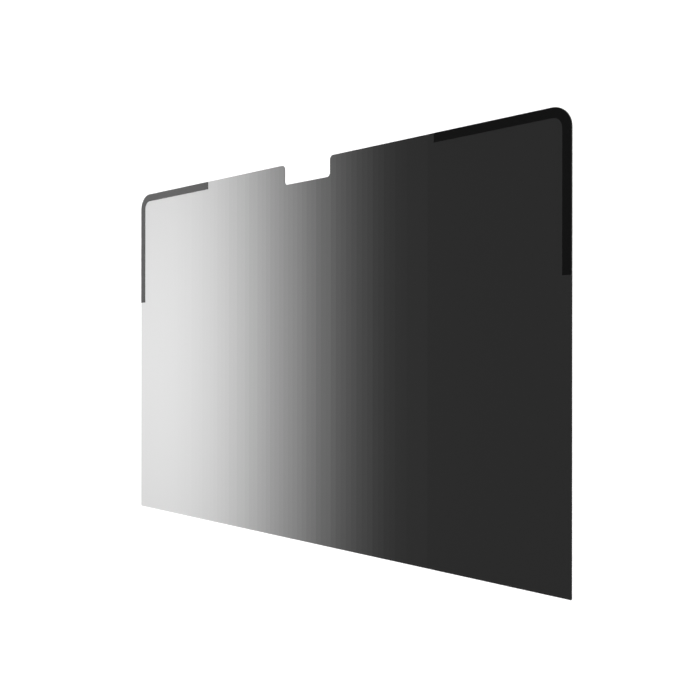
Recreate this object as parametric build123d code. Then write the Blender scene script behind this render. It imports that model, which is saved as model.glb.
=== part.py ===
from build123d import *
import os

# Laptop privacy filter: a thin die-cut sheet of louvre film that lies flat, and two L-shaped magnets
# bonded to its upper face along the top corners. X runs along the width, Y towards the notched top
# edge and Z up through the thickness. The origin is the middle of the film's lower face.

# Film, in millimetres
FILM_WIDTH = 310.0
FILM_HEIGHT = 201.0
FILM_THICKNESS = 0.4
TOP_CORNER_RADIUS = 9.2
BOTTOM_CORNER_RADIUS = 0.5

# Camera notch, centred in the top edge
NOTCH_WIDTH = 34.5
NOTCH_DEPTH = 10.8
NOTCH_MOUTH_RADIUS = 2.2
NOTCH_FLOOR_RADIUS = 2.1

# Corner magnets, measured along the outer edges of the film
MAGNET_WIDTH = 4.4
MAGNET_THICKNESS = 0.2
MAGNET_TOP_ARM = 70.5
MAGNET_SIDE_ARM = 69.3
MAGNET_EDGE_RADIUS = 0.06

# Edges of the sheet, which the corner magnets line up with
LEFT_EDGE = -FILM_WIDTH / 2
TOP_EDGE = FILM_HEIGHT / 2


def rounded(sketch, point, radius):
    """The sketch with its corner nearest to the point rounded."""
    return fillet(sketch.vertices().sort_by_distance(point)[0], radius)


def film_outline():
    """The sheet's die-cut outline."""
    sheet = Rectangle(FILM_WIDTH, FILM_HEIGHT)
    sheet = fillet(sheet.vertices().group_by(Axis.Y)[-1], TOP_CORNER_RADIUS)
    sheet = fillet(sheet.vertices().group_by(Axis.Y)[0], BOTTOM_CORNER_RADIUS)

    # The notch reaches as far above the top edge as below it, so that it cuts through cleanly
    notch = Pos(0, TOP_EDGE) * Rectangle(NOTCH_WIDTH, 2 * NOTCH_DEPTH)
    notch = fillet(notch.vertices().group_by(Axis.Y)[0], NOTCH_FLOOR_RADIUS)
    sheet -= notch

    along_top = sheet.vertices().group_by(Axis.Y)[-1]
    mouth = sorted(along_top, key=lambda vertex: abs(vertex.X))[:2]
    return fillet(mouth, NOTCH_MOUTH_RADIUS)


def privacy_film():
    return extrude(film_outline(), FILM_THICKNESS)


def corner_block(inset):
    """A block that fills the top left corner, set in from both edges, with its corner rounded to match."""
    corner = (LEFT_EDGE + inset, TOP_EDGE - inset)
    block = Pos(*corner) * Rectangle(MAGNET_TOP_ARM, MAGNET_SIDE_ARM, align=(Align.MIN, Align.MAX))
    return rounded(block, corner, TOP_CORNER_RADIUS - inset)


def left_corner_magnet():
    """An L-shaped strip, flush with the film's edges, with its upper rim slightly rounded."""
    outline = corner_block(0) - corner_block(MAGNET_WIDTH)
    strip = extrude(Pos(0, 0, FILM_THICKNESS) * outline, MAGNET_THICKNESS)
    upper_rim = strip.faces().sort_by(Axis.Z)[-1].edges()
    return fillet(upper_rim, MAGNET_EDGE_RADIUS)


def main():
    left_magnet = left_corner_magnet()
    nodes = {
        "privacy_film": privacy_film(),
        "left_corner_magnet": left_magnet,
        "right_corner_magnet": mirror(left_magnet, about=Plane.YZ),
    }
    os.makedirs("parts", exist_ok=True)
    for name, solid in nodes.items():
        export_step(solid, f"parts/{name}.step")


main()
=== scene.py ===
import math

import bpy
from mathutils import Matrix, Vector


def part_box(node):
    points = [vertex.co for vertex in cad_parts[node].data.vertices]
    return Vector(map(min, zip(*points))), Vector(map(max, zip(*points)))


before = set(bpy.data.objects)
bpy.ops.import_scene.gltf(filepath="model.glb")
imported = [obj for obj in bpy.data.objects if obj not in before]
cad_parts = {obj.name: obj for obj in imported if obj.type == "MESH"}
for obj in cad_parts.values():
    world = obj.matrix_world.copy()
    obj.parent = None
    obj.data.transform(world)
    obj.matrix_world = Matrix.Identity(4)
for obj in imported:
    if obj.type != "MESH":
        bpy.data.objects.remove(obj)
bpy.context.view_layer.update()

# Places taken from the frame, in metres
FILM_LOW, FILM_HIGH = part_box("privacy_film")
FILM_LEFT = FILM_LOW.x
FILM_TOP = FILM_HIGH.z
FILM_HALF_HEIGHT = FILM_HIGH.y

# Camera, tilted from straight overhead towards the film's right edge, with the notch at the picture's top,
# and rolled a very little about its line of sight
CAMERA_LENS_MM = 44.60
CAMERA_NEAR = 0.01
CAMERA_TILT = math.radians(43.40)
CAMERA_ROLL = math.radians(0.053)
CAMERA_DISTANCE = 0.4353
CAMERA_AIM = Vector((0.03157, 0.00065, FILM_TOP))

# Floor, just under the film
FLOOR_HALF_SIZE = 6.0
FLOOR_GAP = 0.00005
FLOOR_COLOR = (0.8, 0.8, 0.8, 1.0)
FLOOR_GLOW = 0.4
WHITE = (1.0, 1.0, 1.0, 1.0)

# Studio: white walls up to an angle above the floor, and a dark ceiling
WALL_TOP = math.sin(math.radians(9))
CEILING_EDGE = math.sin(math.radians(14))
WALL_LIGHT = 1.0
CEILING_LIGHT = 0.02

# Wide soft light overhead, which is the same all over the stage and isn't mirrored in the film
KEY_STRENGTH = 3.03
KEY_SPREAD = math.radians(70)
KEY_TURN = (math.radians(-10), math.radians(20), 0.0)

# Softbox beyond the film's left edge, whose sheen lies on the left half
SHEEN_PLACE = Vector((-1.73, 0.0, 1.165))
SHEEN_SIZE = (1.6, 0.39)
SHEEN_RADIANCE = 2.38

# Louvre film: the share of light it sends back at its silver left edge and where it has faded to black,
# and the length of the whole fade. The fade is painted light: the real film's louvres are the same all
# across, and the fade stands in for light they let through at one viewing angle and shut off at another
SILVER = 0.692
BLACK = 0.0231
FADE_WIDTH = 0.2418

# The painted fade goes in fine upright bands. Each has the tone of one place in it, off its middle by chance,
# and the silver has a painted shade, a little darker towards the top and bottom edges. The last band is a
# wide one of dark grey, between two places along X, and the film is black past it.
BAND_WIDTH = 0.0036
BAND_JITTER = 0.7
LAST_BAND_START = 0.0692
LAST_BAND_END = 0.0809
SHADE_DEPTH = 0.107

# Louvres inside the film, the satin grain of its faces, and its cut edge
LOUVRE_PITCH = 0.00012
LOUVRE_CONTRAST = 0.04
FILM_GRAIN_SIZE = 0.0004
FILM_GRAIN_DEPTH = 0.000001
FILM_ROUGHNESS = (0.20, 0.24)
CUT_EDGE = 0.03

# Magnets: black skin with a fine grain
MAGNET_COLOR = (0.005, 0.0066)
MAGNET_ROUGHNESS = (0.17, 0.23)
MAGNET_GRAIN_SIZE = 0.0003
MAGNET_GRAIN_DEPTH = 0.000002

# Most of a noise texture lies between these
NOISE_LOW = 0.3
NOISE_HIGH = 0.7


class Nodes:
    """A short way to add and join the nodes of one material or of the world."""

    def __init__(self, tree):
        self.tree = tree

    def add(self, kind, **settings):
        node = self.tree.nodes.new(kind)
        for name, value in settings.items():
            setattr(node, name, value)
        return node

    def feed(self, socket, value):
        """Joins an output to the socket, or sets the socket to a constant."""
        if isinstance(value, bpy.types.NodeSocket):
            self.tree.links.new(value, socket)
        else:
            socket.default_value = value

    def math(self, operation, first, second=0.0):
        node = self.add("ShaderNodeMath", operation=operation)
        self.feed(node.inputs[0], first)
        self.feed(node.inputs[1], second)
        return node.outputs[0]

    def map_range(self, value, from_low, from_high, to_low, to_high, interpolation="LINEAR"):
        node = self.add("ShaderNodeMapRange", interpolation_type=interpolation)
        for name, given in (("Value", value), ("From Min", from_low), ("From Max", from_high),
                            ("To Min", to_low), ("To Max", to_high)):
            self.feed(node.inputs[name], given)
        return node.outputs["Result"]

    def split(self, vector):
        """The X, Y and Z of a vector."""
        node = self.add("ShaderNodeSeparateXYZ")
        self.feed(node.inputs[0], vector)
        return node.outputs

    def place(self):
        """The surface point, in the object's own frame."""
        return self.add("ShaderNodeTexCoord").outputs["Object"]

    def random(self, number):
        """A value from 0 to 1 for each whole number."""
        node = self.add("ShaderNodeTexWhiteNoise", noise_dimensions="1D")
        self.feed(node.inputs["W"], number)
        return node.outputs["Value"]

    def banded(self, distance, width, jitter):
        """The distance in flat steps of the given width, each near the middle of its band."""
        band = self.math("FLOOR", self.math("DIVIDE", distance, width))
        part = self.map_range(self.random(band), 0.0, 1.0, 0.5 - jitter / 2, 0.5 + jitter / 2)
        return self.math("MULTIPLY", self.math("ADD", band, part), width)

    def grain(self, place, size):
        """Fine noise from 0 to 1."""
        node = self.add("ShaderNodeTexNoise")
        self.feed(node.inputs["Vector"], place)
        self.feed(node.inputs["Scale"], 1.0 / size)
        return self.map_range(node.outputs["Fac"], NOISE_LOW, NOISE_HIGH, 0.0, 1.0)

    def between(self, share, limits):
        """The value at a share of the way between two limits."""
        return self.map_range(share, 0.0, 1.0, *limits)

    def bump(self, height, depth):
        """The normal of a relief of the given depth."""
        node = self.add("ShaderNodeBump")
        self.feed(node.inputs["Height"], height)
        self.feed(node.inputs["Distance"], depth)
        return node.outputs["Normal"]


def new_material(name):
    """A material, the way to add its nodes, and its shader."""
    material = bpy.data.materials.new(name)
    material.use_nodes = True
    return material, Nodes(material.node_tree), material.node_tree.nodes["Principled BSDF"]


def louvre_film():
    """Satin louvre film with a painted fade: silver stands in for light its louvres let through, near black
    for where they shut it off.
    """
    material, nodes, shader = new_material("louvre_film")
    place = nodes.place()
    x, y, _ = nodes.split(place)

    # Painted shade: the silver is a little darker towards the top and bottom edges
    off_centre = nodes.math("DIVIDE", y, FILM_HALF_HEIGHT)
    shade = nodes.math("MULTIPLY", nodes.math("MULTIPLY", off_centre, off_centre), SILVER * SHADE_DEPTH)
    silver = nodes.math("SUBTRACT", SILVER, shade)

    # Painted light: fade along X from silver to the dark grey of the last band, in fine bands, and black past
    # it
    along = nodes.math("MINIMUM", nodes.banded(x, BAND_WIDTH, BAND_JITTER), LAST_BAND_START)
    fade = nodes.map_range(along, FILM_LEFT, FILM_LEFT + FADE_WIDTH, silver, BLACK, "SMOOTHERSTEP")
    past_bands = nodes.math("GREATER_THAN", x, LAST_BAND_END)
    tone = nodes.between(past_bands, (fade, BLACK))

    # Fine upright lines of the louvres
    wave = nodes.math("SINE", nodes.math("MULTIPLY", x, math.tau / LOUVRE_PITCH))
    louvres = nodes.math("ADD", nodes.math("MULTIPLY", wave, LOUVRE_CONTRAST), 1.0)
    face = nodes.math("MULTIPLY", tone, louvres)

    # The faces lie flat, and the cut edge stands upright
    _, _, upward = nodes.split(nodes.add("ShaderNodeNewGeometry").outputs["True Normal"])
    flatness = nodes.math("ABSOLUTE", upward)
    nodes.feed(shader.inputs["Base Color"], nodes.between(flatness, (CUT_EDGE, face)))

    grain = nodes.grain(place, FILM_GRAIN_SIZE)
    nodes.feed(shader.inputs["Roughness"], nodes.between(grain, FILM_ROUGHNESS))
    nodes.feed(shader.inputs["Normal"], nodes.bump(grain, FILM_GRAIN_DEPTH))
    return material


def magnet_black():
    """Smooth black skin of the flexible magnets, with a fine grain."""
    material, nodes, shader = new_material("magnet_black")
    grain = nodes.grain(nodes.place(), MAGNET_GRAIN_SIZE)
    nodes.feed(shader.inputs["Base Color"], nodes.between(grain, MAGNET_COLOR))
    nodes.feed(shader.inputs["Roughness"], nodes.between(grain, MAGNET_ROUGHNESS))
    nodes.feed(shader.inputs["Normal"], nodes.bump(grain, MAGNET_GRAIN_DEPTH))
    return material


def floor_white():
    """Pale floor that the camera and reflections see as white, and that still takes the object's shadow."""
    material, nodes, shader = new_material("floor_white")
    shader.inputs["Base Color"].default_value = FLOOR_COLOR
    shader.inputs["Specular IOR Level"].default_value = 0.0
    shader.inputs["Emission Color"].default_value = WHITE
    path = nodes.add("ShaderNodeLightPath")
    seen = nodes.math("MAXIMUM", path.outputs["Is Camera Ray"], path.outputs["Is Glossy Ray"])
    seen = nodes.math("MAXIMUM", seen, path.outputs["Is Transmission Ray"])
    nodes.feed(shader.inputs["Emission Strength"], nodes.math("MULTIPLY", seen, FLOOR_GLOW))
    return material


def dress(node, material):
    """Gives a CAD node its material."""
    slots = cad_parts[node].data.materials
    slots.clear()
    slots.append(material)


def add_to_scene(name, data):
    thing = bpy.data.objects.new(name, data)
    bpy.context.scene.collection.objects.link(thing)
    return thing


def add_floor():
    half = FLOOR_HALF_SIZE
    corners = [(x, y, -FLOOR_GAP) for x, y in ((-half, -half), (half, -half), (half, half), (-half, half))]
    mesh = bpy.data.meshes.new("floor")
    mesh.from_pydata(corners, [], [(0, 1, 2, 3)])
    mesh.materials.append(floor_white())
    add_to_scene("floor", mesh)


def add_studio():
    """White walls all round and a dark ceiling."""
    world = bpy.data.worlds.new("studio")
    world.use_nodes = True
    nodes = Nodes(world.node_tree)
    background = world.node_tree.nodes["Background"]
    background.inputs["Color"].default_value = WHITE
    _, _, upward = nodes.split(nodes.add("ShaderNodeTexCoord").outputs["Generated"])
    light = nodes.map_range(upward, WALL_TOP, CEILING_EDGE, WALL_LIGHT, CEILING_LIGHT, "SMOOTHSTEP")
    nodes.feed(background.inputs["Strength"], light)
    bpy.context.scene.world = world


def add_key_light():
    """A wide sun that lights every place alike."""
    lamp = bpy.data.lights.new("key_light", "SUN")
    lamp.energy = KEY_STRENGTH
    lamp.angle = KEY_SPREAD
    key = add_to_scene("key_light", lamp)
    key.rotation_euler = KEY_TURN
    key.visible_camera = False
    key.visible_glossy = False


def add_sheen_light():
    """A softbox that faces the middle of the film."""
    lamp = bpy.data.lights.new("sheen_light", "AREA")
    lamp.shape = "RECTANGLE"
    lamp.size, lamp.size_y = SHEEN_SIZE
    lamp.energy = SHEEN_RADIANCE * math.pi * lamp.size * lamp.size_y
    sheen = add_to_scene("sheen_light", lamp)
    sheen.location = SHEEN_PLACE
    sheen.rotation_euler = (-SHEEN_PLACE).to_track_quat("-Z", "Y").to_euler()
    sheen.visible_camera = False


def add_camera():
    lens = bpy.data.cameras.new("camera")
    lens.lens = CAMERA_LENS_MM
    lens.clip_start = CAMERA_NEAR
    camera = add_to_scene("camera", lens)
    towards_camera = Vector((math.sin(CAMERA_TILT), 0.0, math.cos(CAMERA_TILT)))
    camera.location = CAMERA_AIM + CAMERA_DISTANCE * towards_camera
    turn = Matrix.Rotation(CAMERA_TILT, 3, "Y") @ Matrix.Rotation(CAMERA_ROLL, 3, "Z")
    camera.rotation_euler = turn.to_euler()
    bpy.context.scene.camera = camera


def main():
    bpy.context.scene.view_settings.view_transform = "Standard"
    dress("privacy_film", louvre_film())
    black = magnet_black()
    dress("left_corner_magnet", black)
    dress("right_corner_magnet", black)
    add_floor()
    add_studio()
    add_key_light()
    add_sheen_light()
    add_camera()


main()
